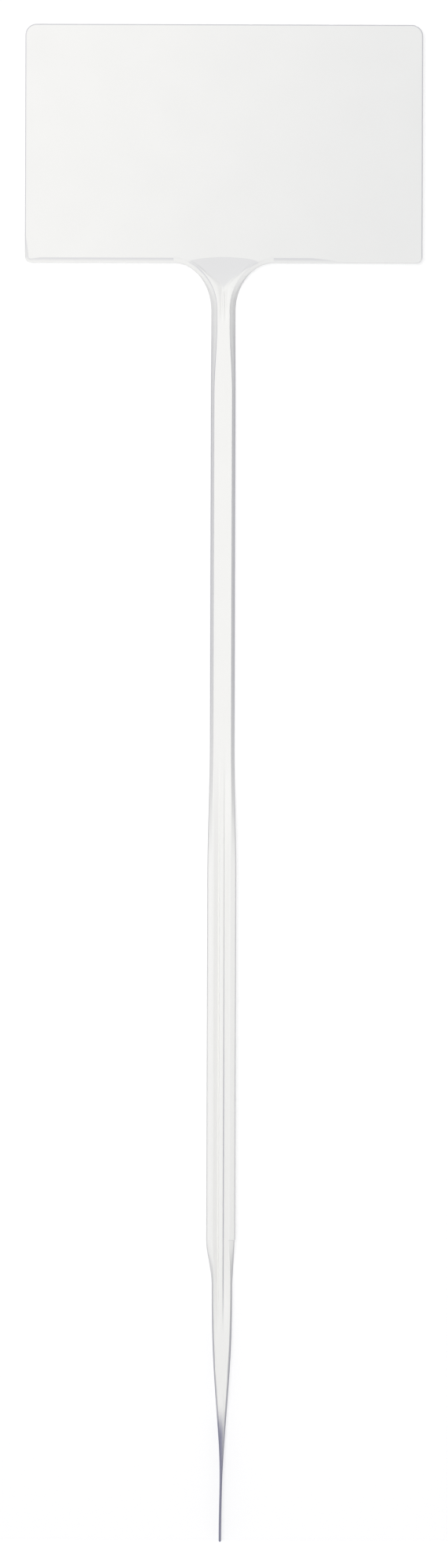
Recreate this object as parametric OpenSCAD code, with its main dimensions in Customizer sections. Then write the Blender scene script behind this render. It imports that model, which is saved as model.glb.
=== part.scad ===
// Plant label stake: one white plastic moulding with a blank plate on a long profiled stem.
// Millimetres. X runs along the plate, Y away from the front, Z up.
// The origin is on the soil line, in the middle of the stem's width and depth.

/* [Name plate] */
// Width of the plate
plate_w = 100; // [60:1:160]
// Height of the plate
plate_h = 60; // [30:1:110]
// Thickness of the plate
plate_t = 1.2; // [0.8:0.1:1.8]
// Radius of the two upper corners
plate_top_r = 2.8; // [1:0.1:10]
// Radius of the two lower corners
plate_foot_r = 1.5; // [1:0.1:10]
// Rounding of the plate's thin edges
plate_edge_r = 0.3; // [0.1:0.05:0.35]
// Height of the bevel along the plate's lower front edge
foot_bevel_h = 1.1; // [0.4:0.1:1.2]
// Depth of that bevel at the plate's lower edge
foot_bevel_depth = 0.5; // [0.2:0.05:0.6]

/* [Shoulder] */
// Height from the stem's plain channel up to the plate's lower edge
shoulder_h = 15; // [13:0.5:24]
// How far each concave flare reaches out along the plate
flare_w = 9.5; // [5:0.5:20]
// Height of each concave flare
flare_h = 12; // [8:0.5:12.5]
// Height over which the plate's thickness grows to the channel's depth
deepen_h = 9.6; // [6:0.2:12]
// How far the shoulder's root reaches up into the plate
root_h = 2; // [1.6:0.1:6]
// Width of the dart-shaped recess at its widest
dart_w = 17.8; // [8:0.2:18]
// Length of the recess from the plate's lower edge to its point
dart_len = 7; // [4:0.2:10]
// How far the shallow arc that closes the recess rises above the plate's bevel
dart_arc_rise_h = 0.3; // [0.1:0.1:0.4]
// Depth of the recess at its point
dart_depth = 0.65; // [0.2:0.05:0.9]
// Height of the fine ridge that runs down from the recess's point
ridge_depth = 0.5; // [0.1:0.05:0.9]
// Width of that ridge at its base
ridge_w = 0.9; // [0.6:0.1:1.4]

/* [Upper stem] */
// Length of the stem from the soil line to the plate's lower edge
stem_len = 246; // [170:1:420]
// Width of the channel across the back
stem_w = 6.2; // [5.2:0.1:9]
// Depth of the channel
stem_depth = 3; // [2.4:0.1:5]
// Thickness of the front web
web_t = 1.1; // [0.7:0.1:1.6]
// Thickness of the side walls at their ends
wall_t = 0.9; // [0.6:0.1:1.2]
// How far each side wall reaches out from front to back
wall_lean_w = 0.8; // [0.3:0.05:1]
// How far each side wall reaches out just below the shoulder
neck_lean_w = 1.5; // [0.3:0.05:1.7]

/* [Lower stem] */
// Height above the soil line where the walls begin to splay into wings
splay_top_h = 125; // [60:1:150]
// Length over which the walls splay
splay_len = 34; // [8:1:40]
// Width across the wings
wing_w = 7.3; // [6.4:0.1:10]
// Depth of the lower stem
lower_depth = 2.4; // [2:0.1:3]
// How far the wings' outer edge lies behind the front face
wing_drop_depth = 0.3; // [0.1:0.05:0.6]
// Depth of the trough on each side of the centre rib
trough_depth = 0.5; // [0.2:0.05:0.7]
// Width of the centre rib at its base
rib_w = 1.2; // [0.6:0.1:1.8]

/* [Spike] */
// Length below the soil line
spike_len = 76; // [66:1:130]
// Width of the spike's heel, just below the wings
heel_w = 6.9; // [6:0.1:7.2]
// Height over which the heel draws in
heel_h = 12; // [6:0.5:20]
// How far the heel's outer edge lies behind the front face
heel_drop_depth = 0.5; // [0.3:0.05:0.9]
// Width of the spike below its heel
spike_w = 5.2; // [4:0.1:6]
// Length from the soil line down to the start of the taper
spike_straight_h = 10; // [4:0.5:12]
// Length of the taper down to the blade
taper_len = 53; // [30:1:54]
// Thickness of the blade that is the tip
blade_w = 0.65; // [0.5:0.05:1.2]
// Depth of the blade at its blunt end
blade_depth = 1.7; // [1.2:0.1:2.4]

/* [Hidden] */

plastic = [0.95, 0.95, 0.94];
front_y = -stem_depth / 2;
plate_foot_z = stem_len;
plate_top_z = stem_len + plate_h;
shoulder_foot_z = stem_len - shoulder_h;
flare_foot_z = stem_len - flare_h;
splay_foot_z = splay_top_h - splay_len;

stem_half = stem_w / 2;
neck_half = stem_half + flare_w;
wing_half = wing_w / 2;
heel_half = heel_w / 2;
spike_half = spike_w / 2;
blade_half = blade_w / 2;
rib_half = rib_w / 2;
ridge_half = ridge_w / 2;
dart_half = dart_w / 2;

// The trough's outer lip lies just inside the front face's edge.
lip_gap_w = 0.35;
trough_lip_w = stem_half - wall_lean_w - lip_gap_w;
// The crest of the rib and of the ridge is this share of its base.
crest_share = 0.32;
// The limbs beside the recess slope in over this share of their width.
limb_share = 0.55;
dart_curve = 1.6;
dart_point_z = plate_foot_z - dart_len;
dart_arc_h = foot_bevel_h + dart_arc_rise_h;
// Least width of the limb beside the recess, and least depth of the side below the front face.
least_limb_w = 0.4;
least_side_depth = 0.05;
// The ridge rises from this far above the recess's point to this far below it.
ridge_start_h = 0.5;
ridge_end_h = 2.5;
// A side wall is a slope with a steeper land behind it. The land has this share of the wall's reach
// and starts at this share of its depth, first on the channel and then on the neck.
land_share = 0.19;
land_depth_share = 0.6;
neck_land_share = 0.5;
neck_land_depth_share = 0.42;
// Height below the shoulder's foot over which the walls change to the neck's.
steepen_h = 18;
// The hollow's floor is narrower than its mouth by this much on each side.
hollow_draft_w = 0.3;
// The wings' outer faces lean this much, and the legs thicken over this height above the heel.
wing_lean_w = 0.15;
step_blend_h = 12;
// The spike's side walls lean this much, or this share of a narrow half width.
spike_lean_w = 0.5;
narrow_share = 0.45;
taper_curve = 1.3;
// The spike's centre rib fades out between these distances below the soil line.
rib_fade_start_h = 8;
rib_fade_end_h = 25;
// How far the web's front falls back from the blade's crest, and at most this share of the depth.
web_fall_depth = 1.2;
web_fall_share = 0.6;
// Distance below the soil line where the web's front starts to fall back.
web_fall_start_h = 36;
// Distance below the soil line where the hollow back is closed.
web_close_h = 30;
// How far the blade's front edge slopes back at its end.
blade_slope_depth = 0.3;
// Where the spike is narrow, its lip, rib foot and leg lie at these shares of the half width.
narrow_lip_share = 0.96;
narrow_base_share = 0.7;
narrow_leg_share = 0.3;
narrow_draft_share = 0.2;

flare_steps = 16;
root_steps = 7;
arc_steps = 3;
neck_steps = 6;
splay_steps = 12;
blend_steps = 4;
heel_steps = 5;
taper_steps = 22;
corner_fn = 48;
edge_steps = 4;

function clamp(x) = max(0, min(1, x));
function smooth(x) = let (t = clamp(x)) t * t * (3 - 2 * t);
// 0 at or below low, 1 at or above high, with an even start and end
function rise(z, low, high) = smooth((z - low) / (high - low));
function mix(a, b, t) = a + (b - a) * t;

// The right half of a cross-section, from the middle of the front round to the middle of the back.
// Each pair is the distance from the centre line and the distance behind the front plane.
function half_outline(crest, base, lip, face, wing, back, leg, floor) = [
    [0, crest[1]],
    crest,
    base,
    lip,
    face,
    wing,
    back,
    leg,
    floor,
    [0, floor[1]]
];
function whole_outline(half) = concat(
    half,
    [for (i = [len(half) - 2 : -1 : 1]) [-half[i][0], half[i][1]]]
);

// Share of the flare that is left at a height: 1 at the plate, 0 at the flare's foot
function flare_share(z) = let (s = clamp((z - flare_foot_z) / flare_h)) 1 - sqrt(1 - s * s);
function flare_half(z) = stem_half + flare_w * flare_share(z);
// Half width of the front face, whose edge runs beside the flare at a distance of lean
function face_half(z, lean) =
    let (s = clamp((z - flare_foot_z) / (flare_h + lean)))
    neck_half - (flare_w + lean) * sqrt(1 - s * s);
// How far the plate's bevel lies behind the front face: least at its top, most at the lower edge
function bevel_behind(z) =
    max(least_side_depth, foot_bevel_depth * clamp(1 - (z - plate_foot_z) / foot_bevel_h));
// 0 on the channel, 1 on the winged lower stem
function splayed(z) = 1 - rise(z, splay_foot_z, splay_top_h);
// 0 on the plate, 1 on the channel
function deepened(z) = 1 - rise(z, plate_foot_z - deepen_h, plate_foot_z);

// Half width of the dart's upper edge: a shallow arc above the plate's edge, a curved point below
function dart_edge(z) = z > plate_foot_z
    ? dart_half * sqrt(1 - pow(clamp((z - plate_foot_z) / dart_arc_h), 2))
    : dart_half * pow(clamp(1 - (plate_foot_z - z) / dart_len), dart_curve);
// Depth of the dart: an even ramp down to the point, then a groove that fades out
function dart_floor(z) = z > dart_point_z
    ? dart_depth * clamp((plate_foot_z + dart_arc_h - z) / (dart_len + dart_arc_h))
    : dart_depth * rise(z, shoulder_foot_z, dart_point_z);
// Height of the fine ridge in that groove
function ridge_rise(z) =
    let (above_point = rise(z, dart_point_z - ridge_end_h, dart_point_z + ridge_start_h))
    min(ridge_depth, dart_floor(z)) * (1 - above_point);

function stem_section(z) =
    let (
        splay = splayed(z),
        deep = deepened(z),
        neck = rise(z, shoulder_foot_z - steepen_h, shoulder_foot_z),
        depth = mix(mix(plate_t, stem_depth, deep), lower_depth, splay),
        lean = mix(foot_bevel_h, mix(wall_lean_w, neck_lean_w, neck), deep),
        back_x = flare_half(z) + (wing_half - stem_half) * splay,
        face_x = face_half(z, lean),
        land_x = back_x - deep * lean * mix(land_share, neck_land_share, neck),
        land_depth = depth * mix(land_depth_share, neck_land_depth_share, neck),
        land_y = mix(bevel_behind(z), land_depth, deep),
        below_dart = 1 - rise(z, splay_top_h, shoulder_foot_z),
        dart_x = max(ridge_half, min(dart_edge(z), face_x - least_limb_w)),
        lip_x = mix(mix(face_x, dart_x, limb_share), trough_lip_w, below_dart),
        base_x = mix(dart_x, rib_half, below_dart),
        base_y = dart_floor(z) + trough_depth * splay,
        crest_y = dart_floor(z) - ridge_rise(z),
        step_blend = 1 - rise(z, 0, step_blend_h),
        leg_x = back_x - wall_t - (wing_half - heel_half) * step_blend
    )
    whole_outline(half_outline(
        crest = [base_x * crest_share, crest_y],
        base = [base_x, base_y],
        lip = [lip_x, 0],
        face = [face_x, 0],
        wing = [mix(land_x, wing_half - wing_lean_w, splay), mix(land_y, wing_drop_depth, splay)],
        back = [back_x, depth],
        leg = [leg_x, depth],
        floor = [leg_x - hollow_draft_w, min(depth, base_y + web_t)]
    ));

// 0 on the straight stretch, 1 at the foot of the taper
function tapered(z) = clamp((-spike_straight_h - z) / taper_len);
function spike_section(z) =
    let (
        narrowing = (1 - cos(180 * pow(tapered(z), taper_curve))) / 2,
        core_x = mix(spike_half, blade_half, narrowing),
        heel = rise(z, -heel_h, 0),
        back_x = core_x + (heel_half - spike_half) * heel,
        lean = min(spike_lean_w, core_x * narrow_share),
        depth = mix(lower_depth, blade_depth, 1 - rise(z, -spike_len, -spike_straight_h)),
        fall = 1 - rise(z, -spike_straight_h - taper_len, -web_fall_start_h),
        web_y = min(web_fall_depth, depth * web_fall_share) * fall,
        face_x = core_x - lean,
        lip_x = min(trough_lip_w, face_x * narrow_lip_share),
        base_x = min(rib_half, lip_x * narrow_base_share),
        base_y = web_y + trough_depth * rise(z, -rib_fade_end_h, -rib_fade_start_h),
        closing = 1 - rise(z, -web_close_h, -spike_straight_h),
        leg_x = max(core_x - wall_t, core_x * narrow_leg_share) + back_x - core_x
    )
    whole_outline(half_outline(
        crest = [base_x * crest_share, blade_slope_depth * fall * tapered(z)],
        base = [base_x, base_y],
        lip = [lip_x, web_y],
        face = [face_x, web_y],
        wing = [
            mix(face_x + lean / 2, back_x - wing_lean_w, heel),
            mix((web_y + depth) / 2, heel_drop_depth, heel)
        ],
        back = [back_x, depth],
        leg = [leg_x, depth],
        floor = [
            leg_x - min(hollow_draft_w, leg_x * narrow_draft_share),
            min(depth, mix(base_y + web_t, depth, closing))
        ]
    ));

// The right half of an end face, split into convex faces by the numbers of its outline's points
half_cap = [[0, 1, 8, 9], [1, 2, 8], [2, 3, 8], [3, 4, 8], [4, 7, 8], [4, 5, 7], [5, 6, 7]];
function reversed(list) = [for (i = [len(list) - 1 : -1 : 0]) list[i]];

// Skin through the sections, each a list of points, at the levels, from the lowest up
module loft(levels, sections) {
    count = len(sections[0]);
    last = len(levels) - 1;
    points = [
        for (i = [0 : last])
            for (p = sections[i])
                [p[0], front_y + p[1], levels[i]]
    ];
    sides = [
        for (i = [0 : last - 1])
            for (j = [0 : count - 1])
                let (
                    low = i * count + j,
                    low_next = i * count + (j + 1) % count,
                    high = low + count,
                    high_next = low_next + count
                )
                each [[low, high, high_next], [low, high_next, low_next]]
    ];
    cap = concat(
        half_cap,
        [for (face = half_cap) reversed([for (j = face) (count - j) % count])]
    );
    top = [for (face = cap) [for (j = reversed(face)) last * count + j]];
    polyhedron(points = points, faces = concat(cap, sides, top), convexity = 6);
}

module stem_loft(levels) {
    loft(levels, [for (z = levels) stem_section(z)]);
}

// Round disc with soft rims, lying in the plate's plane
module corner_disc(r) {
    rotate([-90, 0, 0]) rotate_extrude($fn = corner_fn) polygon(concat(
        [[0, 0]],
        [for (k = [0 : edge_steps])
            let (a = 90 * k / edge_steps)
            [r - plate_edge_r * (1 - sin(a)), plate_edge_r * (1 - cos(a))]],
        [for (k = [0 : edge_steps])
            let (a = 90 * k / edge_steps)
            [r - plate_edge_r * (1 - cos(a)), plate_t - plate_edge_r * (1 - sin(a))]],
        [[0, plate_t]]
    ));
}

module plate_blank() {
    hull() for (side = [-1, 1]) {
        translate([side * (plate_w / 2 - plate_top_r), front_y, plate_top_z - plate_top_r])
            corner_disc(plate_top_r);
        translate([side * (plate_w / 2 - plate_foot_r), front_y, plate_foot_z + plate_foot_r])
            corner_disc(plate_foot_r);
    }
}

// What the bevel takes off the plate's lower front edge
module bevel_wedge() {
    translate([0, front_y, plate_foot_z]) rotate([90, 0, 90])
        linear_extrude(height = plate_w + 2 * plate_t, center = true) polygon([
            [-foot_bevel_depth, -foot_bevel_h],
            [2 * foot_bevel_depth, -foot_bevel_h],
            [-foot_bevel_depth, 2 * foot_bevel_h]
        ]);
}

module name_plate() {
    color(plastic) difference() {
        plate_blank();
        bevel_wedge();
        translate([-neck_half, front_y - plate_t, plate_foot_z - root_h])
            cube([2 * neck_half, 3 * plate_t, 2 * root_h]);
    }
}

module shoulder() {
    groove_levels = [shoulder_foot_z, (shoulder_foot_z + flare_foot_z) / 2];
    flare_levels = [
        for (k = [flare_steps : -1 : 1]) flare_foot_z + flare_h * cos(90 * k / flare_steps)
    ];
    crease_r = flare_h + foot_bevel_h;
    root_angle = acos(flare_h / crease_r);
    root_levels = [
        for (k = [0 : root_steps]) flare_foot_z + crease_r * cos(root_angle * (1 - k / root_steps))
    ];
    arc_levels = [
        for (k = [1 : arc_steps])
            plate_foot_z + foot_bevel_h + dart_arc_rise_h * sin(90 * k / arc_steps)
    ];
    top_level = [plate_foot_z + root_h];
    color(plastic) stem_loft(concat(groove_levels, flare_levels, root_levels, arc_levels, top_level));
}

module upper_stem() {
    neck_levels = [for (k = [neck_steps : -1 : 0]) shoulder_foot_z - steepen_h * k / neck_steps];
    color(plastic) stem_loft(concat([splay_top_h], neck_levels));
}

module lower_stem() {
    step_levels = [for (k = [0 : blend_steps]) step_blend_h * k / blend_steps];
    splay_levels = [for (k = [0 : splay_steps]) splay_foot_z + splay_len * k / splay_steps];
    color(plastic) stem_loft(concat(step_levels, splay_levels));
}

module spike() {
    taper_foot_z = -spike_straight_h - taper_len;
    taper_levels = [for (k = [0 : taper_steps]) taper_foot_z + taper_len * k / taper_steps];
    heel_levels = [for (k = [1 : heel_steps]) spike_straight_h * (k / heel_steps - 1)];
    levels = concat([-spike_len, (taper_foot_z - spike_len) / 2], taper_levels, heel_levels);
    color(plastic) loft(levels, [for (z = levels) spike_section(z)]);
}

name_plate();
shoulder();
upper_stem();
lower_stem();
spike();
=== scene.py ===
"""Looks of the white plastic plant label stake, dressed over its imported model."""

import math

import bpy
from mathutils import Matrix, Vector


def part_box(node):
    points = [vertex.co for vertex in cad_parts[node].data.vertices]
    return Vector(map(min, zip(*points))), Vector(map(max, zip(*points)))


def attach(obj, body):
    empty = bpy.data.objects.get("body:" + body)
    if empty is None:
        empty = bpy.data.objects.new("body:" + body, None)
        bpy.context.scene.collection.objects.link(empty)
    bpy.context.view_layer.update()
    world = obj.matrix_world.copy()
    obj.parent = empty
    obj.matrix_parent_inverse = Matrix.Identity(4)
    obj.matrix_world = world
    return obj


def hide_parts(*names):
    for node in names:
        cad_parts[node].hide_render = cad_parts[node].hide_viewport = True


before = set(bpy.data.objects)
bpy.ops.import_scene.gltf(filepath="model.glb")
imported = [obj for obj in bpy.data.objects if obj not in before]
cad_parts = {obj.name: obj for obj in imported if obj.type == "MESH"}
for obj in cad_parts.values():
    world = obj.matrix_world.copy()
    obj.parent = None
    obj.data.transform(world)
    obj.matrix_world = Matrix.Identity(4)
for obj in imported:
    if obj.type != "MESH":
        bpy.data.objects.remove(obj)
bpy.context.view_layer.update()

# Sizes and levels are in millimetres unless a comment says metres, with the soil line at level 0.
# A pair holds two levels or distances, and what it names changes gradually between them.
MM = 0.001


def packed_box(node):
    """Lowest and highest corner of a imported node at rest, in millimetres."""
    return [tuple(v / MM for v in corner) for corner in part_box(node)]


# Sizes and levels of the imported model
PLATE_LOW, PLATE_HIGH = packed_box("name_plate")
SHOULDER_LOW, SHOULDER_HIGH = packed_box("shoulder")
SPIKE_LOW, SPIKE_HIGH = packed_box("spike")
FRONT_Y = PLATE_LOW[1]
PLATE_T = PLATE_HIGH[1] - PLATE_LOW[1]
PLATE_HALF = PLATE_HIGH[0]
PLATE_FOOT = PLATE_LOW[2]
PLATE_TOP = PLATE_HIGH[2]
NECK_HALF = SHOULDER_HIGH[0]
ROOT_H = SHOULDER_HIGH[2] - PLATE_FOOT
SHOULDER_FOOT = SHOULDER_LOW[2]
STEM_DEPTH = SHOULDER_HIGH[1] - SHOULDER_LOW[1]
SPLAY_TOP = packed_box("upper_stem")[0][2]
WING_HALF = packed_box("lower_stem")[1][0]
HEEL_HALF = SPIKE_HIGH[0]
SPIKE_DEPTH = SPIKE_HIGH[1] - SPIKE_LOW[1]
TIP_Z = SPIKE_LOW[2]

# Corners and thin edge of the plate
PLATE_TOP_R = 2.8
PLATE_FOOT_R = 1.5
PLATE_EDGE_R = 0.16
PLATE_EDGE_BEVEL = 0.16

# Bevel along the plate's lower edge. It fades out before the right corner and up the left edge.
FOOT_BEVEL_H = 1.1
FOOT_BEVEL_DEPTH = 0.5
BEVEL_FOOT_R = 0.25
FADE_START = 21.0
FADE_END = 32.0
FADE_LEFT = 4.0
CORNER_FADE = 7.0
CORNER_SHARE = 0.7

# Flare between the stem and the plate. It reaches the stem's depth within a share of its height,
# and it runs on up into the plate where the sine of its angle is under ROOT_ZONE.
FLARE_W = 9.5
FLARE_H = 12.0
FLARE_FOOT = PLATE_FOOT - FLARE_H
DEEPEN_SHARE = 0.8
DEEPEN_FOOT = PLATE_FOOT - FLARE_H * DEEPEN_SHARE
ROOT_ZONE = 0.25
ROOT_CURVE = 1.5

# Channel section of the stem, and the neck at its top, where the side walls lean more
STEM_HALF = NECK_HALF - FLARE_W
WEB_T = 1.1
WALL_T = 0.9
HOLLOW_DRAFT = 0.3
WALL_LEAN = 0.8
NECK_LEAN = 1.5
NECK_H = 18.0
FACE_ZONE = 0.2
FLOOR_ZONE = 0.2

# Line and land on the side wall: inset from the back edge as a share of the lean, and distance
# behind the front as a share of the depth, along the stem and at the neck
LINE_INSET = 0.9
NECK_LINE_INSET = 0.95
LINE_BEHIND = 0.23
NECK_LINE_BEHIND = 0.08
LAND_INSET = 0.19
NECK_LAND_INSET = 0.5
LAND_BEHIND = 0.6
NECK_LAND_BEHIND = 0.42

# Dart-shaped recess with a limb on either side, and the groove and fine ridge below its point
DART_HALF = 8.9
DART_LEN = 7.0
DART_POINT = PLATE_FOOT - DART_LEN
DART_OVER_BEVEL = 0.3
DART_ARC_H = FOOT_BEVEL_H + DART_OVER_BEVEL
DART_DEPTH = 0.28
DART_CURVE = 1.6
LEAST_LIMB = 0.6
LIMB_SHARE = 0.4
GROOVE_HALF = 0.45
GROOVE_DEPTH = 0.25
GROOVE_DEEPENS = (DART_POINT - 1.5, DART_POINT)
GROOVE_APPEARS = (SHOULDER_FOOT - 1, DART_POINT - 2)
RIDGE_FADES = (DART_POINT - 2.5, DART_POINT + 0.5)
RIDGE_CREST_SHARE = 0.4

# Wide, shallow section below the splay, with a centre rib, two troughs and drooping wings
SPLAY_LEN = 34.0
SPLAY_FOOT = SPLAY_TOP - SPLAY_LEN
WING_DROP = 0.18
WING_LEAN = 0.15
TROUGH_DEPTH = 0.5
LIP_LAND = 0.35
TROUGH_LIP = STEM_HALF - WALL_LEAN - LIP_LAND
RIB_HALF = 0.65
RIB_CREST_SHARE = 0.75
STEP_BLEND_H = 12.0

# Spike, from its heel under the soil line through the taper to the blade that is the tip
HEEL_FOOT = -12.0
HEEL_DROP = 0.5
SPIKE_HALF = 2.6
SPIKE_LEAN = 0.5
TAPER_TOP = -10.0
TAPER_LEN = 53.0
TAPER_FOOT = TAPER_TOP - TAPER_LEN
TAPER_CURVE = 1.3
RIB_FADES = (-25.0, -8.0)
WEB_FALL = 1.2
WEB_FALL_TOP = -36.0
CHANNEL_CLOSED = -30.0
BLADE_HALF = 0.325
BLADE_DEPTH = 1.7
BLADE_SLOPE = 0.3

# Most that each feature may take of the narrowing spike
LEAN_SHARE = 0.45
WEB_FALL_SHARE = 0.6
LIP_SHARE = 0.96
RIB_SHARE = 0.7
DRAFT_SHARE = 0.2

# Least half width that stays open inside the spike's legs, as a share of the spike's own
LEG_SHARE = 0.3

# The photographed spike stands a little to the right between the soil line and the tip
SPIKE_ASIDE = 0.35
ASIDE_FULL = -50.0

# Corners of the stem's and the spike's half outlines, from the front's middle round to the
# back's, with the radius that rounds each
STEM_CORNERS = {
    "front_middle": 0,
    "crest": 0.06,
    "rib_foot": 0.4,
    "lip": 0.6,
    "front_guard": 0.08,
    "face_edge": PLATE_EDGE_R,
    "wall_line": 0.2,
    "wall_land": BEVEL_FOOT_R,
    "back_edge": PLATE_EDGE_R,
    "leg": 0.15,
    "floor": 0.4,
    "floor_guard": 0.1,
    "back_middle": 0,
}
SPIKE_CORNERS = {
    "front_middle": 0,
    "crest": 0.06,
    "rib_foot": 0.15,
    "lip": 0.2,
    "face_edge": 0.12,
    "wing": 0.3,
    "back_edge": 0.15,
    "leg": 0.15,
    "floor": 0.3,
    "back_middle": 0,
}

# Most that a rounding takes of a side, and what counts as no side and as a level ring
SIDE_SHARE = 0.45
SHORTEST_SIDE = 1e-9
LEVEL_WITHIN = 0.01

# How finely the skins are made
ARC_STEPS = 4
CORNER_STEPS = 10
FADE_STEPS = 8
FLARE_STEPS = 44

# Height of the painted shadow line under the heel's step
HEEL_LINE_H = 0.25

# Stretches of each piece: its lowest level, its highest and its number of rings
LOWER_STEM = [
    (0, STEP_BLEND_H, 8),
    (STEP_BLEND_H, SPLAY_FOOT, 12),
    (SPLAY_FOOT, SPLAY_TOP, 24),
]
UPPER_STEM = [
    (SPLAY_TOP, SHOULDER_FOOT - NECK_H, 12),
    (SHOULDER_FOOT - NECK_H, SHOULDER_FOOT, 12),
]
NECK = [
    (SHOULDER_FOOT, FLARE_FOOT, 6),
]
SPIKE = [
    (TIP_Z, TAPER_FOOT, 6),
    (TAPER_FOOT, TAPER_TOP, 60),
    (TAPER_TOP, -HEEL_LINE_H, 12),
]

# Painted shade on edge-on plastic, creases, the recess and the blade, from 0 for none to 1 for the
# darkest.
# The plain edge's painted shade is lost, at the rate LOW_EDGE_LOSS, where the outline turns to the
# plate's lower edge.
CREASE_TONE = 0.26
PLAIN_EDGE_TONE = 0.3
LOW_EDGE_LOSS = 2
DART_TONE = 0.16
DART_TONE_INWARD = (-0.2, 0.35)
DART_TONE_UP = (DART_POINT - 1, DART_POINT + 2)
HEEL_LINE_TONE = 0.3
BLADE_TONE_UP = (-50.0, -41.0)
BLADE_TONE_OUT = (BLADE_HALF * 0.9, BLADE_HALF * 3)
BLADE_TONE_LOSS = 0.8
CHANNEL_FAINT = 0.12
CHANNEL_APPEARS = (108, 150)
CHANNEL_FADES = (205, 235)
LEFT_CREASE_APPEARS = (200, 225)
LEFT_CREASE_FADES = (PLATE_FOOT - 2, PLATE_FOOT)
RIB_SHADE_FADES = (20, 120)
RIB_SHADE_APPEARS = (RIB_FADES[0], TAPER_TOP)
RIB_SHADE_HALF = RIB_HALF + 0.12
SPIKE_FAINT = 0.15
SPIKE_LINES_FADE = (-30, -4)

# Plastic: its colours and the tones of its painted shade, the direction in which painted shade
# darkens and cools the plate and between which distances in metres, the depths of its relief, and the
# scale and detail of each noise
LIGHT_TONE = (0.9, 0.898, 0.875, 1)
DARK_TONE = (0.888, 0.886, 0.863, 1)
# Painted shade that darkens and cools the plate towards its right and lower part
PLATE_SHADE_TONE = (0.896, 0.901, 0.912, 1)
# Colour of the painted shade on edges, creases, the recess and the blade
PAINTED_SHADE_TONE = (0.3, 0.3, 0.42, 1)
PLATE_SHADE_TOWARDS = (1, 0, -0.35)
PLATE_SHADE_BETWEEN = (-0.15, -0.03)
PLASTIC_IOR = 1.49
ROUGHNESS = (0.38, 0.52)
WAVE_DEPTH = 0.08
GRAIN_DEPTH = 0.003
CLOUD_NOISE = (28, 3)
GLOSS_NOISE = (90, 4)
WAVE_NOISE = (45, 1)
GRAIN_NOISE = (3000, 2)

# The photograph is 571 x 2000 pixels. Two of its rows are the plate's top edge and the tip, and
# one of its columns is the label's axis.
PHOTO_W, PHOTO_H = 571, 2000
TOP_ROW, TIP_ROW = 31, 1967
AXIS_COLUMN = 283
ROLL_DEG = -0.17

# Camera: distance and clipping in metres, and its sensor's height in millimetres
CAMERA_DISTANCE = 1.8
CLIP_START = 0.01
CLIP_END = 20
SENSOR_H = 24

# Suns: direction that the light comes from, strength, angle in degrees and colour
KEY = ((-0.22, -0.95, 0.1), 1.22, 24, (1, 0.995, 0.975))
BACK_FILL = ((0.15, 1, 0.35), 1.35, 12, (0.97, 0.985, 1))

# Room light: its colours by direction, and between which Y or Z of the direction they change
SIDE_LIGHT = (0.22, 0.235, 0.29, 1)
FLOOR_LIGHT = (1.25, 1.25, 1.26, 1)
FRONT_LIGHT = (0.6, 0.6, 0.61, 1)
FRONT_BETWEEN = (-0.1, -0.8)
FLOOR_BETWEEN = (0.1, -0.6)
BACKGROUND_WHITE = 1.05

# Stage: sizes in metres, tones of its papers, and how they glow to the camera and to the label
STAGE_REACH = 2.0
BOARD_TOP = 1.2
FLOOR_PAPER = 0.6
FLOOR_GLOW = 0.75
BOARD_PAPER = 0.5
BOARD_GLOW = 0.55
GLOW_ON_LABEL = 0.2


def clamp(value):
    """The value, held between 0 and 1."""
    return max(0.0, min(1.0, value))


def rise(z, low, high):
    """0 at or below low, 1 at or above high, with an even start and end."""
    t = clamp((z - low) / (high - low))
    return t * t * (3 - 2 * t)


def mix(a, b, t):
    """a where t is 0, b where t is 1."""
    return a + (b - a) * t


def ring_levels(stretches):
    """Levels of the rings of these stretches, each from its lowest up to just below its highest."""
    levels = []
    for low, high, count in stretches:
        levels += [low + (high - low) * i / count for i in range(count)]
    return levels


def splayed(z):
    """0 on the channel, 1 on the wide, shallow section below the splay."""
    return 1 - rise(z, SPLAY_FOOT, SPLAY_TOP)


def deepened(z):
    """0 from the plate's foot up, 1 where the flare is as deep as the stem."""
    return 1 - rise(z, DEEPEN_FOOT, PLATE_FOOT)


def necked(z):
    """0 along the stem, 1 from the shoulder's foot up."""
    return rise(z, SHOULDER_FOOT - NECK_H, SHOULDER_FOOT)


def below_dart(z):
    """0 on the shoulder, with its recess, and 1 below the channel, with its rib."""
    return 1 - rise(z, SPLAY_TOP, SHOULDER_FOOT)


def depth_at(z):
    """Depth of the stem's or the shoulder's section."""
    return mix(mix(PLATE_T, STEM_DEPTH, deepened(z)), SPIKE_DEPTH, splayed(z))


def lean_at(z):
    """How far the front face's edge lies inside the back edge."""
    return mix(FOOT_BEVEL_H, mix(WALL_LEAN, NECK_LEAN, necked(z)), deepened(z))


def dart_edge(z):
    """Half width of the dart-shaped recess: a shallow arc at the top, a curved point below."""
    if z > PLATE_FOOT:
        return DART_HALF * math.sqrt(1 - clamp((z - PLATE_FOOT) / DART_ARC_H) ** 2)
    return DART_HALF * clamp(1 - (PLATE_FOOT - z) / DART_LEN) ** DART_CURVE


def dart_floor(z):
    """Depth of the recess: an even ramp down to the point, then a groove that fades out."""
    if z > DART_POINT:
        return DART_DEPTH * clamp((PLATE_FOOT + DART_ARC_H - z) / (DART_LEN + DART_ARC_H))
    groove = mix(GROOVE_DEPTH, DART_DEPTH, rise(z, *GROOVE_DEEPENS))
    return groove * rise(z, *GROOVE_APPEARS)


def along_side(corner, neighbour, radius):
    """The point at this distance from the corner towards its neighbour, short of halfway."""
    side = neighbour - corner
    if side.length <= SHORTEST_SIDE:
        return corner.copy()
    return corner + side.normalized() * min(radius, side.length * SIDE_SHARE)


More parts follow.
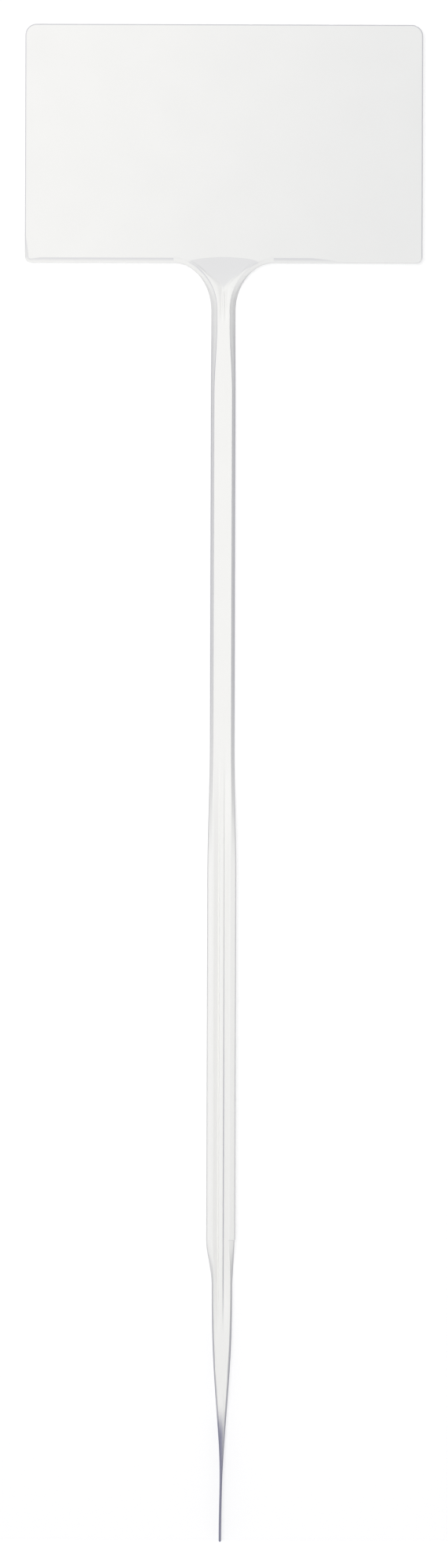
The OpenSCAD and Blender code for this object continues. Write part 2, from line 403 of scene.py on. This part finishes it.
def fillet(before, corner, after, radius):
    """ARC_STEPS + 1 points that round the corner between its two neighbours."""
    start = along_side(corner, before, radius)
    end = along_side(corner, after, radius)
    points = []
    for step in range(ARC_STEPS + 1):
        t = step / ARC_STEPS
        points.append(start * (1 - t) ** 2 + corner * 2 * t * (1 - t) + end * t * t)
    return points


def rounded_half(places, corners):
    """The right half of an outline through these places, rounded as the named corners are."""
    points = [places[0]]
    radii = list(corners.values())
    for i in range(1, len(places) - 1):
        points += fillet(places[i - 1], places[i], places[i + 1], radii[i])
    points.append(places[-1])
    return points


def closed_ring(right, left):
    """The whole outline: the right half, front to back, then the mirror of the left half."""
    return right + [Vector((-p.x, p.y, p.z)) for p in reversed(left[1:-1])]


def corner_points(corners, name):
    """Where in a ring the points lie that round the named corner of its right half."""
    first = 1 + (ARC_STEPS + 1) * (list(corners).index(name) - 1)
    return range(first, first + ARC_STEPS + 1)


def front_corners(z, front_z, zone_x, face_x):
    """Corners from the front's middle to the lip: crest and foot of the recess or the rib."""
    dart_x = max(GROOVE_HALF, min(dart_edge(front_z), zone_x - LEAST_LIMB))
    base_x = mix(dart_x, RIB_HALF, below_dart(z))
    crest_x = base_x * mix(RIDGE_CREST_SHARE, RIB_CREST_SHARE, below_dart(z))
    lip_x = mix(mix(dart_x, face_x, LIMB_SHARE), TROUGH_LIP, below_dart(z))
    dart = dart_floor(front_z)
    crest = dart - dart * (1 - rise(front_z, *RIDGE_FADES))
    base = dart + TROUGH_DEPTH * splayed(z)
    places = [(0, crest), (crest_x, crest), (base_x, base), (lip_x, 0)]
    return [Vector((x, FRONT_Y + behind, front_z)) for x, behind in places]


def wall_corners(at, z, face_offset):
    """The side wall's line and its land, between the face's edge and the back edge."""
    lean, depth = lean_at(z), depth_at(z)
    neck, deep, splay = necked(z), deepened(z), splayed(z)
    line_offset = lean * mix(0.5, mix(LINE_INSET, NECK_LINE_INSET, neck), deep)
    line_depth = depth * mix(LINE_BEHIND, NECK_LINE_BEHIND, neck)
    line_behind = mix(FOOT_BEVEL_DEPTH / 2, line_depth, deep)
    land_offset = lean * mix(0, mix(LAND_INSET, NECK_LAND_INSET, neck), deep)
    land_depth = depth * mix(LAND_BEHIND, NECK_LAND_BEHIND, neck)
    land_behind = mix(FOOT_BEVEL_DEPTH, land_depth, deep)
    line = at(
        mix(line_offset, (face_offset + WING_LEAN) / 2, splay),
        mix(line_behind, WING_DROP / 2, splay),
    )
    land = at(mix(land_offset, WING_LEAN, splay), mix(land_behind, WING_DROP, splay))
    return [line, land]


def back_corners(at, z, root_share):
    """Corners from the back edge round the leg to the middle of the open channel's floor."""
    depth = depth_at(z)
    step_blend = 1 - rise(z, 0, STEP_BLEND_H)
    leg = WALL_T + (WING_HALF - HEEL_HALF) * step_blend
    back_zone = mix(leg + HOLLOW_DRAFT + FLOOR_ZONE, ROOT_H, root_share)
    back_z = at(back_zone, 0).z
    web_back = dart_floor(back_z) + TROUGH_DEPTH * splayed(z) + WEB_T
    floor = mix(min(depth, web_back), depth, root_share)
    return [
        at(0, depth),
        at(leg, depth),
        at(leg + HOLLOW_DRAFT, floor),
        at(back_zone, floor),
        Vector((0, FRONT_Y + floor, back_z)),
    ]


def stem_station(outline_x, z, inward, root_share=0.0):
    """Ring of points at one place of the stem or shoulder, whose outline there faces inward."""
    outline = Vector((outline_x, 0, z))

    def at(offset, behind):
        place = outline + inward * offset
        return Vector((place.x, FRONT_Y + behind, place.z))

    face_offset = mix(lean_at(z), outline_x - (STEM_HALF - WALL_LEAN), splayed(z))
    face_edge = at(face_offset, 0)
    guard = at(mix(face_offset + FACE_ZONE, ROOT_H, root_share), 0)
    places = front_corners(z, guard.z, guard.x, face_edge.x)
    places += [guard, face_edge]
    places += wall_corners(at, z, face_offset)
    places += back_corners(at, z, root_share)
    half = rounded_half(places, STEM_CORNERS)
    return closed_ring(half, half)


def upright_station(z):
    """Ring of the stem at one level below the flare."""
    half = STEM_HALF + (WING_HALF - STEM_HALF) * splayed(z)
    return stem_station(half, z, Vector((-1, 0, 0)))


def flare_station(angle):
    """Ring at one place of the flare: it leaves the plate's edge at 0 and ends upright at 90."""
    x = NECK_HALF - FLARE_W * math.sin(angle)
    z = FLARE_FOOT + FLARE_H * math.cos(angle)
    inward = Vector((-math.sin(angle) / FLARE_W, 0, math.cos(angle) / FLARE_H))
    root_share = clamp(1 - math.sin(angle) / ROOT_ZONE) ** ROOT_CURVE
    return stem_station(x, z, inward.normalized(), root_share)


def spike_tapered(z):
    """0 above the spike's taper, 1 at its foot and below."""
    return clamp((TAPER_TOP - z) / TAPER_LEN)


def spike_depth(z):
    """Depth of the spike's section, which falls from the taper's top to the tip."""
    return mix(SPIKE_DEPTH, BLADE_DEPTH, 1 - rise(z, TIP_Z, TAPER_TOP))


def web_fallen(z):
    """0 where the spike's web is flush with the front, 1 where it has fallen back."""
    return 1 - rise(z, TAPER_FOOT, WEB_FALL_TOP)


def web_behind(z):
    """How far the spike's web lies behind the front."""
    return min(WEB_FALL, spike_depth(z) * WEB_FALL_SHARE) * web_fallen(z)


def trough_behind(z):
    """How far the rib's foot lies behind the front of the spike."""
    return web_behind(z) + TROUGH_DEPTH * rise(z, *RIB_FADES)


def spike_front(z, face_x):
    """Places across the spike's front, from its middle to the edge of its face."""
    lip_x = min(TROUGH_LIP, face_x * LIP_SHARE)
    base_x = min(RIB_HALF, lip_x * RIB_SHARE)
    crest = BLADE_SLOPE * web_fallen(z) * spike_tapered(z)
    web = web_behind(z)
    return [
        (0, crest),
        (base_x * RIB_CREST_SHARE, crest),
        (base_x, trough_behind(z)),
        (lip_x, web),
        (face_x, web),
    ]


def spike_back(z, core_x, back_x):
    """Places across the spike's back, from its edge to its middle."""
    depth = spike_depth(z)
    closing = 1 - rise(z, CHANNEL_CLOSED, TAPER_TOP)
    floor = min(depth, mix(trough_behind(z) + WEB_T, depth, closing))
    leg_x = max(core_x - WALL_T, core_x * LEG_SHARE) + back_x - core_x
    floor_x = leg_x - min(HOLLOW_DRAFT, leg_x * DRAFT_SHARE)
    return [(back_x, depth), (leg_x, depth), (floor_x, floor), (0, floor)]


def spike_half(z, heel_half, heel_drop):
    """Right half of the spike's outline at one level, for a heel of this half width and drop."""
    narrowing = (1 - math.cos(math.pi * spike_tapered(z) ** TAPER_CURVE)) / 2
    core_x = mix(SPIKE_HALF, BLADE_HALF, narrowing)
    heel = rise(z, HEEL_FOOT, 0)
    back_x = core_x + (heel_half - SPIKE_HALF) * heel
    lean = min(SPIKE_LEAN, core_x * LEAN_SHARE)
    face_x = core_x - lean
    wing_x = mix(face_x + lean / 2, back_x - WING_LEAN, heel)
    wing_behind = mix((web_behind(z) + spike_depth(z)) / 2, heel_drop, heel)
    places = [*spike_front(z, face_x), (wing_x, wing_behind), *spike_back(z, core_x, back_x)]
    return rounded_half([Vector((x, FRONT_Y + behind, z)) for x, behind in places], SPIKE_CORNERS)


def spike_station(z):
    """Ring of points at one level of the spike: stepped at its right heel, flush at its left."""
    ring = closed_ring(spike_half(z, HEEL_HALF, HEEL_DROP), spike_half(z, WING_HALF, WING_DROP))
    aside = SPIKE_ASIDE * (1 - rise(z, TAPER_TOP, 0)) * rise(z, TIP_Z, ASIDE_FULL)
    below_rib = 1 - rise(z, WEB_FALL_TOP, RIB_FADES[0])
    placed = []
    for p in ring:
        share = max(below_rib, rise(abs(p.x), RIB_HALF, TROUGH_LIP))
        placed.append(p + Vector((aside * share, 0, 0)))
    return placed


def channel_strength(p):
    """1 along the plain channel, faint on the splayed part below it and on the neck above."""
    appearing = mix(CHANNEL_FAINT, 1, rise(p.z, *CHANNEL_APPEARS))
    return appearing * mix(1, CHANNEL_FAINT, rise(p.z, *CHANNEL_FADES))


def left_crease_strength(p):
    """1 along the left edge of the front face at the neck, 0 on its right and further down."""
    if p.x > 0:
        return 0.0
    return rise(p.z, *LEFT_CREASE_APPEARS) * (1 - rise(p.z, *LEFT_CREASE_FADES))


def rib_shade_strength(p):
    """1 on the right side of the centre rib, which turns from the light, 0 on its left."""
    if p.x < 0 or p.x > RIB_SHADE_HALF:
        return 0.0
    return (1 - rise(p.z, *RIB_SHADE_FADES)) * rise(p.z, *RIB_SHADE_APPEARS)


def spike_strength(p):
    """1 along the spike, and faint near the soil line."""
    return mix(SPIKE_FAINT, 1, 1 - rise(p.z, *SPIKE_LINES_FADE))


# Painted shade lines along the corners of the stem's and the spike's outlines: tone and strength
STEM_LINES = [
    ("face_edge", 0.32, channel_strength),
    ("face_edge", 0.3, left_crease_strength),
    ("wall_line", 0.15, channel_strength),
    ("wall_land", 0.3, channel_strength),
    ("back_edge", 0.5, channel_strength),
    ("rib_foot", 0.55, rib_shade_strength),
]
SPIKE_LINES = [
    ("wing", 0.45, spike_strength),
    ("back_edge", 0.9, spike_strength),
    ("rib_foot", 0.55, rib_shade_strength),
]


def dart_painted_shade(p):
    """Painted shade in the recess inside its edge, 0 on the limbs beside it and on the stem."""
    if p.z >= PLATE_FOOT + DART_ARC_H:
        return 0.0
    inside = rise(dart_edge(p.z) - abs(p.x), *DART_TONE_INWARD)
    return DART_TONE * inside * rise(p.z, *DART_TONE_UP)


def blade_painted_shade(p):
    """Painted shade, 1 along the blade's crest, fading up the spike and outwards; a painted shadow
    line under the heel's step.
    """
    if p.z > -HEEL_LINE_H / 2 and p.x > TROUGH_LIP:
        return HEEL_LINE_TONE
    along = 1 - rise(p.z, *BLADE_TONE_UP)
    return along * (1 - BLADE_TONE_LOSS * rise(abs(p.x), *BLADE_TONE_OUT))


def painted_line_shade(ring, corners, lines):
    """Painted shade of each point of a ring, from the lines that run along its corners on both sides.
    """
    tones = [0.0] * len(ring)
    for corner, tone, strength in lines:
        for j in corner_points(corners, corner):
            tones[j] += tone * strength(ring[j])
            tones[-j] += tone * strength(ring[-j])
    return tones


def grid_normals(rings):
    """Smooth normals of a skin through the rings, by the slopes along and across it."""
    last, count = len(rings) - 1, len(rings[0])
    normals = []
    for i, ring in enumerate(rings):
        low, high = rings[max(i - 1, 0)], rings[min(i + 1, last)]
        row = []
        for j in range(count):
            around = ring[(j + 1) % count] - ring[j - 1]
            along = high[j] - low[j]
            row.append(around.cross(along).normalized())
        normals.append(row)
    return normals


def quads(lines, count, closed):
    """Faces between neighbouring lines of count points each, closed round or open."""
    faces = []
    for i in range(lines - 1):
        for j in range(count if closed else count - 1):
            low, low_next = i * count + j, i * count + (j + 1) % count
            faces.append((low, low_next, low_next + count, low + count))
    return faces


def top_caps(ring):
    """The top's flat faces: one on a level ring, and three on the shoulder's, whose ends drop."""
    count = len(ring)
    if max(p.z for p in ring) - min(p.z for p in ring) < LEVEL_WITHIN:
        return [range(count)]
    front = corner_points(STEM_CORNERS, "front_guard")[ARC_STEPS // 2]
    back = corner_points(STEM_CORNERS, "floor_guard")[ARC_STEPS // 2]
    top = [*range(front + 1), *range(back, count - back + 1), *range(count - front, count)]
    return [top, range(front, back + 1), range(count - back, count - front + 1)]


def make_piece(name, verts, faces, normals, smooth_count, painted_shade_values):
    """Mesh object whose first smooth_count faces take the given normals; the rest stay flat."""
    mesh = bpy.data.meshes.new(name)
    mesh.from_pydata(verts, [], faces)
    mesh.validate()
    for polygon in mesh.polygons:
        polygon.use_smooth = True
    loops = []
    for polygon in mesh.polygons:
        smooth = polygon.index < smooth_count
        for vertex in polygon.vertices:
            loops.append(normals[vertex] if smooth else polygon.normal)
    mesh.normals_split_custom_set(loops)
    # Painted shade of each point, which darkens the plastic's colour
    mesh.attributes.new("painted_shade", "FLOAT", "POINT").data.foreach_set("value", painted_shade_values)
    piece = bpy.data.objects.new(name, mesh)
    bpy.context.scene.collection.objects.link(piece)
    return piece


def skin(name, rings, normals, painted_shade, corners, lines):
    """A closed piece through the rings, from the lowest up, with flat ends."""
    count = len(rings[0])
    painted_shade_values = []
    for ring in rings:
        # Painted shade of each point: the mask's, plus the lines' along the corners
        for tone, p in zip(painted_line_shade(ring, corners, lines), ring):
            painted_shade_values.append(min(1.0, painted_shade(p) + tone))
    faces = quads(len(rings), count, closed=True)
    smooth_count = len(faces)
    faces.append(tuple(reversed(range(count))))
    top = (len(rings) - 1) * count
    for cap in top_caps(rings[-1]):
        faces.append(tuple(top + j for j in cap))
    verts = [p * MM for ring in rings for p in ring]
    ring_normals = [n for row in normals for n in row]
    return make_piece(name, verts, faces, ring_normals, smooth_count, painted_shade_values)


def plate_corner(side, edge_z, radius, start, share):
    """A quarter turn of the outline from the angle start: right for side 1, left for side -1."""
    centre_x = side * (PLATE_HALF - radius)
    centre_z = edge_z - radius if edge_z == PLATE_TOP else edge_z + radius
    points = []
    for step in range(CORNER_STEPS + 1):
        angle = math.radians(start + 90 * step / CORNER_STEPS)
        out = Vector((math.cos(angle), 0, math.sin(angle)))
        points.append((centre_x + radius * out.x, centre_z + radius * out.z, -out, share))
    return points


def plate_outline():
    """The plate's outline from neck round to neck: places, inward directions, share of the bevel."""
    up = Vector((0, 0, 1))
    points = [(NECK_HALF, PLATE_FOOT, up, 1.0)]
    for step in range(FADE_STEPS + 1):
        x = mix(FADE_START, FADE_END, step / FADE_STEPS)
        points.append((x, PLATE_FOOT, up, 1 - rise(x, FADE_START, FADE_END)))
    points += plate_corner(1, PLATE_FOOT, PLATE_FOOT_R, -90, 0.0)
    points += plate_corner(1, PLATE_TOP, PLATE_TOP_R, 0, 0.0)
    points += plate_corner(-1, PLATE_TOP, PLATE_TOP_R, 90, 0.0)
    for step in range(FADE_STEPS):
        z = PLATE_FOOT + mix(CORNER_FADE, PLATE_FOOT_R, step / FADE_STEPS)
        share = (1 - rise(z, PLATE_FOOT + PLATE_FOOT_R, PLATE_FOOT + CORNER_FADE)) * CORNER_SHARE
        points.append((-PLATE_HALF, z, Vector((1, 0, 0)), share))
    points += plate_corner(-1, PLATE_FOOT, PLATE_FOOT_R, 180, CORNER_SHARE)
    points.append((-PLATE_HALF + FADE_LEFT, PLATE_FOOT, up, 1.0))
    points.append((-NECK_HALF, PLATE_FOOT, up, 1.0))
    return points


def plate_profile(share):
    """The plate's edge as pairs of inset and distance behind the front, with its slopes."""
    inset = mix(PLATE_EDGE_BEVEL, FOOT_BEVEL_H, share)
    behind = mix(PLATE_EDGE_BEVEL, FOOT_BEVEL_DEPTH, share)
    face_edge = Vector((inset, 0, 0))
    bevel_foot = Vector((0, behind, 0))
    back_edge = Vector((0, PLATE_T, 0))
    inner = Vector((ROOT_H, 0, 0))
    profile = fillet(inner, face_edge, bevel_foot, PLATE_EDGE_R)
    profile += fillet(face_edge, bevel_foot, back_edge, mix(PLATE_EDGE_R, BEVEL_FOOT_R, share))
    profile += fillet(bevel_foot, back_edge, inner + back_edge, PLATE_EDGE_R)
    slopes = [Vector((0, -1, 0))]
    for k in range(1, len(profile) - 1):
        ahead = profile[k + 1] - profile[k - 1]
        slopes.append(Vector((-ahead.y, ahead.x, 0)).normalized())
    slopes.append(Vector((0, 1, 0)))
    return profile, slopes


def plate_edge_painted_shade(count, share, inward):
    """Painted shade across the plate's edge: a line in the bevel's crease, or a line round the plain
    edge.
    """
    tones = [0.0] * count
    plain = PLAIN_EDGE_TONE * clamp(1 - share) * clamp(1 - LOW_EDGE_LOSS * inward.z)
    for k in range(1, 1 + ARC_STEPS):
        tones[k] = max(CREASE_TONE * share, plain)
    for k in range(1 + ARC_STEPS, count - 1):
        tones[k] = plain
    return tones


def plate_flats(columns, rows):
    """The plate's two flat sides, then the three of its notch, whose four corners come last."""
    notch = columns * rows
    right_front, right_back, left_front, left_back = range(notch, notch + 4)
    front = [i * rows for i in range(columns)]
    back = [i * rows + rows - 1 for i in range(columns)]
    last = (columns - 1) * rows
    return [
        tuple(front + [left_front, right_front]),
        tuple(reversed(back + [left_back, right_back])),
        tuple([right_front, right_back] + [rows - 1 - k for k in range(rows)]),
        tuple([left_back, left_front] + [last + k for k in range(rows)]),
        (right_front, left_front, left_back, right_back),
    ]


def plate_piece():
    """The plate: two flat faces, a bevelled edge, and the notch that the shoulder fills."""
    outline = plate_outline()
    verts, normals, painted_shade_values = [], [], []
    for x, z, inward, share in outline:
        profile, slopes = plate_profile(share)
        # Painted shade lines in the bevel's crease and round the plain edge
        painted_shade_values += plate_edge_painted_shade(len(profile), share, inward)
        for p, slope in zip(profile, slopes):
            verts.append(Vector((x + inward.x * p.x, FRONT_Y + p.y, z + inward.z * p.x)) * MM)
            normals.append(Vector((inward.x * slope.x, slope.y, inward.z * slope.x)).normalized())
    rows = len(profile)
    faces = quads(len(outline), rows, closed=False)
    smooth_count = len(faces)
    faces += plate_flats(len(outline), rows)
    for side in (1, -1):
        for behind in (0, PLATE_T):
            verts.append(Vector((side * NECK_HALF, FRONT_Y + behind, PLATE_FOOT + ROOT_H)) * MM)
            normals.append(Vector((0, 0, 1)))
            painted_shade_values.append(0.0)
    return make_piece("name_plate_moulding", verts, faces, normals, smooth_count, painted_shade_values)


def new_material(name):
    """A material with nodes, and its node tree."""
    material = bpy.data.materials.new(name)
    material.use_nodes = True
    return material, material.node_tree


def give(tree, value, socket):
    """Give a socket another node's output or a fixed value."""
    if isinstance(value, bpy.types.NodeSocket):
        tree.links.new(value, socket)
    else:
        socket.default_value = value


def remap(tree, value, source=(0, 1), target=(0, 1), smooth=False):
    """The value, taken from one range to another, evenly or with a soft start and end."""
    node = tree.nodes.new("ShaderNodeMapRange")
    if smooth:
        node.interpolation_type = "SMOOTHSTEP"
    names = ("Value", "From Min", "From Max", "To Min", "To Max")
    for name, given in zip(names, (value, *source, *target)):
        give(tree, given, node.inputs[name])
    return node.outputs["Result"]


def blend(tree, mode, factor, base, over):
    """Two colours, laid over each other by the mode and the factor."""
    node = tree.nodes.new("ShaderNodeMix")
    node.data_type = "RGBA"
    node.blend_type = mode
    for name, given in zip(("Factor", "A", "B"), (factor, base, over)):
        give(tree, given, node.inputs[name])
    return node.outputs["Result"]


def mix_shaders(tree, factor, off, on):
    """The shader off where the factor is 0, and on where it is 1."""
    node = tree.nodes.new("ShaderNodeMixShader")
    for place, given in enumerate((factor, off, on)):
        give(tree, given, node.inputs[place])
    return node.outputs["Shader"]


def noise(tree, place, scale, detail):
    """Soft random values over the place."""
    node = tree.nodes.new("ShaderNodeTexNoise")
    give(tree, place, node.inputs["Vector"])
    give(tree, scale, node.inputs["Scale"])
    give(tree, detail, node.inputs["Detail"])
    return node.outputs["Fac"]


def bump(tree, height, depth, below=None):
    """Normals of a relief of this depth in millimetres, over the normals below it."""
    node = tree.nodes.new("ShaderNodeBump")
    give(tree, 1.0, node.inputs["Strength"])
    give(tree, depth * MM, node.inputs["Distance"])
    give(tree, height, node.inputs["Height"])
    if below is not None:
        give(tree, below, node.inputs["Normal"])
    return node.outputs["Normal"]


def plate_shade_share(tree, place):
    """How far painted shade has darkened and cooled the plate, from its left to its right and a
    little down.
    """
    across = tree.nodes.new("ShaderNodeVectorMath")
    across.operation = "DOT_PRODUCT"
    give(tree, place, across.inputs[0])
    give(tree, PLATE_SHADE_TOWARDS, across.inputs[1])
    shade = remap(tree, across.outputs["Value"], PLATE_SHADE_BETWEEN, smooth=True)
    axes = tree.nodes.new("ShaderNodeSeparateXYZ")
    give(tree, place, axes.inputs["Vector"])
    flare_levels = (FLARE_FOOT * MM, PLATE_FOOT * MM)
    on_plate = remap(tree, axes.outputs["Z"], flare_levels, smooth=True)
    both = tree.nodes.new("ShaderNodeMath")
    both.operation = "MULTIPLY"
    give(tree, shade, both.inputs[0])
    give(tree, on_plate, both.inputs[1])
    return both.outputs["Value"]


def plastic_colour(tree, place):
    """Faintly clouded white, with painted shade that darkens and cools part of the plate and that
    darkens edges, creases, the recess and the blade.
    """
    # Painted shade from each point's attribute darkens the colour at the end
    painted_shade_values = tree.nodes.new("ShaderNodeAttribute")
    painted_shade_values.attribute_name = "painted_shade"
    clouds = blend(tree, "MIX", noise(tree, place, *CLOUD_NOISE), LIGHT_TONE, DARK_TONE)
    # Painted shade towards the plate's right and lower part
    toned = blend(tree, "MULTIPLY", plate_shade_share(tree, place), clouds, PLATE_SHADE_TONE)
    return blend(tree, "MULTIPLY", painted_shade_values.outputs["Fac"], toned, PAINTED_SHADE_TONE)


def white_plastic():
    """Satin white plastic with moulded grain, slow waves and uneven gloss."""
    material, tree = new_material("white_plastic_finish")
    shader = tree.nodes["Principled BSDF"]
    place = tree.nodes.new("ShaderNodeTexCoord").outputs["Object"]
    roughness = remap(tree, noise(tree, place, *GLOSS_NOISE), target=ROUGHNESS)
    waves = bump(tree, noise(tree, place, *WAVE_NOISE), WAVE_DEPTH)
    grain = bump(tree, noise(tree, place, *GRAIN_NOISE), GRAIN_DEPTH, waves)
    give(tree, PLASTIC_IOR, shader.inputs["IOR"])
    give(tree, plastic_colour(tree, place), shader.inputs["Base Color"])
    give(tree, roughness, shader.inputs["Roughness"])
    give(tree, grain, shader.inputs["Normal"])
    return material


def dress(piece, node, material):
    """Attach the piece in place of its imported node."""
    piece.data.materials.append(material)
    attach(piece, "root")
    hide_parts(node)


def build_stem(finish):
    """Lower stem, upper stem and shoulder, cut from one skin so that their normals agree."""
    lower, upper = ring_levels(LOWER_STEM), ring_levels(UPPER_STEM)
    stations = [upright_station(z) for z in lower + upper + ring_levels(NECK)]
    for i in range(FLARE_STEPS + 1):
        stations.append(flare_station(math.pi / 2 * (1 - i / FLARE_STEPS)))
    normals = grid_normals(stations)
    splay_at, shoulder_at = len(lower), len(lower) + len(upper)
    parts = [
        ("lower_stem", 0, splay_at),
        ("upper_stem", splay_at, shoulder_at),
        ("shoulder", shoulder_at, len(stations) - 1),
    ]
    for node, first, last in parts:
        rings, slopes = stations[first : last + 1], normals[first : last + 1]
        piece = skin(node + "_moulding", rings, slopes, dart_painted_shade, STEM_CORNERS, STEM_LINES)
        dress(piece, node, finish)


def build_spike(finish):
    """Spike, whose last two rings bound the painted shadow line under the heel's step."""
    rings = [spike_station(z) for z in ring_levels(SPIKE) + [-HEEL_LINE_H, 0.0]]
    slopes = grid_normals(rings)
    piece = skin("spike_moulding", rings, slopes, blade_painted_shade, SPIKE_CORNERS, SPIKE_LINES)
    dress(piece, "spike", finish)


def build_label():
    """All five pieces of the label, in one plastic."""
    finish = white_plastic()
    build_stem(finish)
    build_spike(finish)
    dress(plate_piece(), "name_plate", finish)


def add_camera():
    """Level camera in front of the label, which frames it as the photograph does."""
    pixels_per_m = (TIP_ROW - TOP_ROW) / ((PLATE_TOP - TIP_Z) * MM)
    middle_z = PLATE_TOP * MM - (PHOTO_H / 2 - TOP_ROW) / pixels_per_m
    middle_x = (PHOTO_W / 2 - AXIS_COLUMN) / pixels_per_m
    data = bpy.data.cameras.new("photo_camera")
    data.sensor_fit = "VERTICAL"
    data.sensor_height = SENSOR_H
    data.lens = SENSOR_H * CAMERA_DISTANCE / (PHOTO_H / pixels_per_m)
    data.clip_start = CLIP_START
    data.clip_end = CLIP_END
    camera = bpy.data.objects.new("photo_camera", data)
    camera.location = (middle_x, FRONT_Y * MM - CAMERA_DISTANCE, middle_z)
    camera.rotation_euler = (math.radians(90), math.radians(ROLL_DEG), 0)
    bpy.context.scene.collection.objects.link(camera)
    bpy.context.scene.camera = camera


def add_sun(name, direction, strength, angle_deg, colour):
    """A sun that shines onto the label from this direction."""
    data = bpy.data.lights.new(name, "SUN")
    data.energy = strength
    data.angle = math.radians(angle_deg)
    data.color = colour
    lamp = bpy.data.objects.new(name, data)
    lamp.rotation_euler = Vector(direction).to_track_quat("Z", "Y").to_euler()
    bpy.context.scene.collection.objects.link(lamp)


def add_world():
    """White for the camera; as a light, soft from the front and dim and bluish from the sides."""
    world = bpy.data.worlds.new("studio")
    world.use_nodes = True
    tree = world.node_tree
    place = tree.nodes.new("ShaderNodeTexCoord")
    axes = tree.nodes.new("ShaderNodeSeparateXYZ")
    give(tree, place.outputs["Generated"], axes.inputs["Vector"])
    below = remap(tree, axes.outputs["Z"], FLOOR_BETWEEN, smooth=True)
    sides = tree.nodes["Background"]
    give(tree, blend(tree, "MIX", below, SIDE_LIGHT, FLOOR_LIGHT), sides.inputs["Color"])
    front = tree.nodes.new("ShaderNodeBackground")
    give(tree, FRONT_LIGHT, front.inputs["Color"])
    frontal = remap(tree, axes.outputs["Y"], FRONT_BETWEEN, smooth=True)
    room = mix_shaders(tree, frontal, sides.outputs["Background"], front.outputs["Background"])
    white = tree.nodes.new("ShaderNodeBackground")
    give(tree, (1, 1, 1, 1), white.inputs["Color"])
    give(tree, BACKGROUND_WHITE, white.inputs["Strength"])
    ray = tree.nodes.new("ShaderNodeLightPath")
    seen = mix_shaders(tree, ray.outputs["Is Camera Ray"], room, white.outputs["Background"])
    give(tree, seen, tree.nodes["World Output"].inputs["Surface"])
    bpy.context.scene.world = world


def paper(name, diffuse, glow, one_sided):
    """Pale matt stage material that is nearly white everywhere but in a soft shadow."""
    material, tree = new_material(name)
    tree.nodes.remove(tree.nodes["Principled BSDF"])
    matt = tree.nodes.new("ShaderNodeBsdfDiffuse")
    give(tree, (diffuse, diffuse, diffuse, 1), matt.inputs["Color"])
    light = tree.nodes.new("ShaderNodeEmission")
    ray = tree.nodes.new("ShaderNodeLightPath")
    strength = remap(tree, ray.outputs["Is Camera Ray"], target=(GLOW_ON_LABEL, glow))
    give(tree, strength, light.inputs["Strength"])
    both = tree.nodes.new("ShaderNodeAddShader")
    give(tree, matt.outputs["BSDF"], both.inputs[0])
    give(tree, light.outputs["Emission"], both.inputs[1])
    surface = both.outputs["Shader"]
    if one_sided:
        clear = tree.nodes.new("ShaderNodeBsdfTransparent")
        side = tree.nodes.new("ShaderNodeNewGeometry")
        surface = mix_shaders(tree, side.outputs["Backfacing"], surface, clear.outputs["BSDF"])
    give(tree, surface, tree.nodes["Material Output"].inputs["Surface"])
    return material


def add_sheet(name, corners, material):
    """A flat rectangle of the stage."""
    mesh = bpy.data.meshes.new(name)
    mesh.from_pydata(corners, [], [(0, 1, 2, 3)])
    mesh.materials.append(material)
    sheet = bpy.data.objects.new(name, mesh)
    bpy.context.scene.collection.objects.link(sheet)
    return sheet


def add_stage():
    """A pale floor under the tip, and a pale board behind the label that takes its soft shadow."""
    reach, low = STAGE_REACH, TIP_Z * MM
    corners = [(-reach, -reach, low), (reach, -reach, low), (reach, reach, low), (-reach, reach, low)]
    floor = add_sheet("floor", corners, paper("floor_paper", FLOOR_PAPER, FLOOR_GLOW, False))
    floor.visible_diffuse = False
    floor.visible_glossy = False
    y, top = (FRONT_Y + STEM_DEPTH) * MM, BOARD_TOP
    corners = [(-reach, y, low), (reach, y, low), (reach, y, top), (-reach, y, top)]
    board = add_sheet("back_board", corners, paper("board_paper", BOARD_PAPER, BOARD_GLOW, True))
    board.visible_shadow = False
    board.visible_glossy = False


bpy.context.scene.view_settings.view_transform = "Standard"
build_label()
add_camera()
add_sun("key", *KEY)
add_sun("back_fill", *BACK_FILL)
add_world()
add_stage()
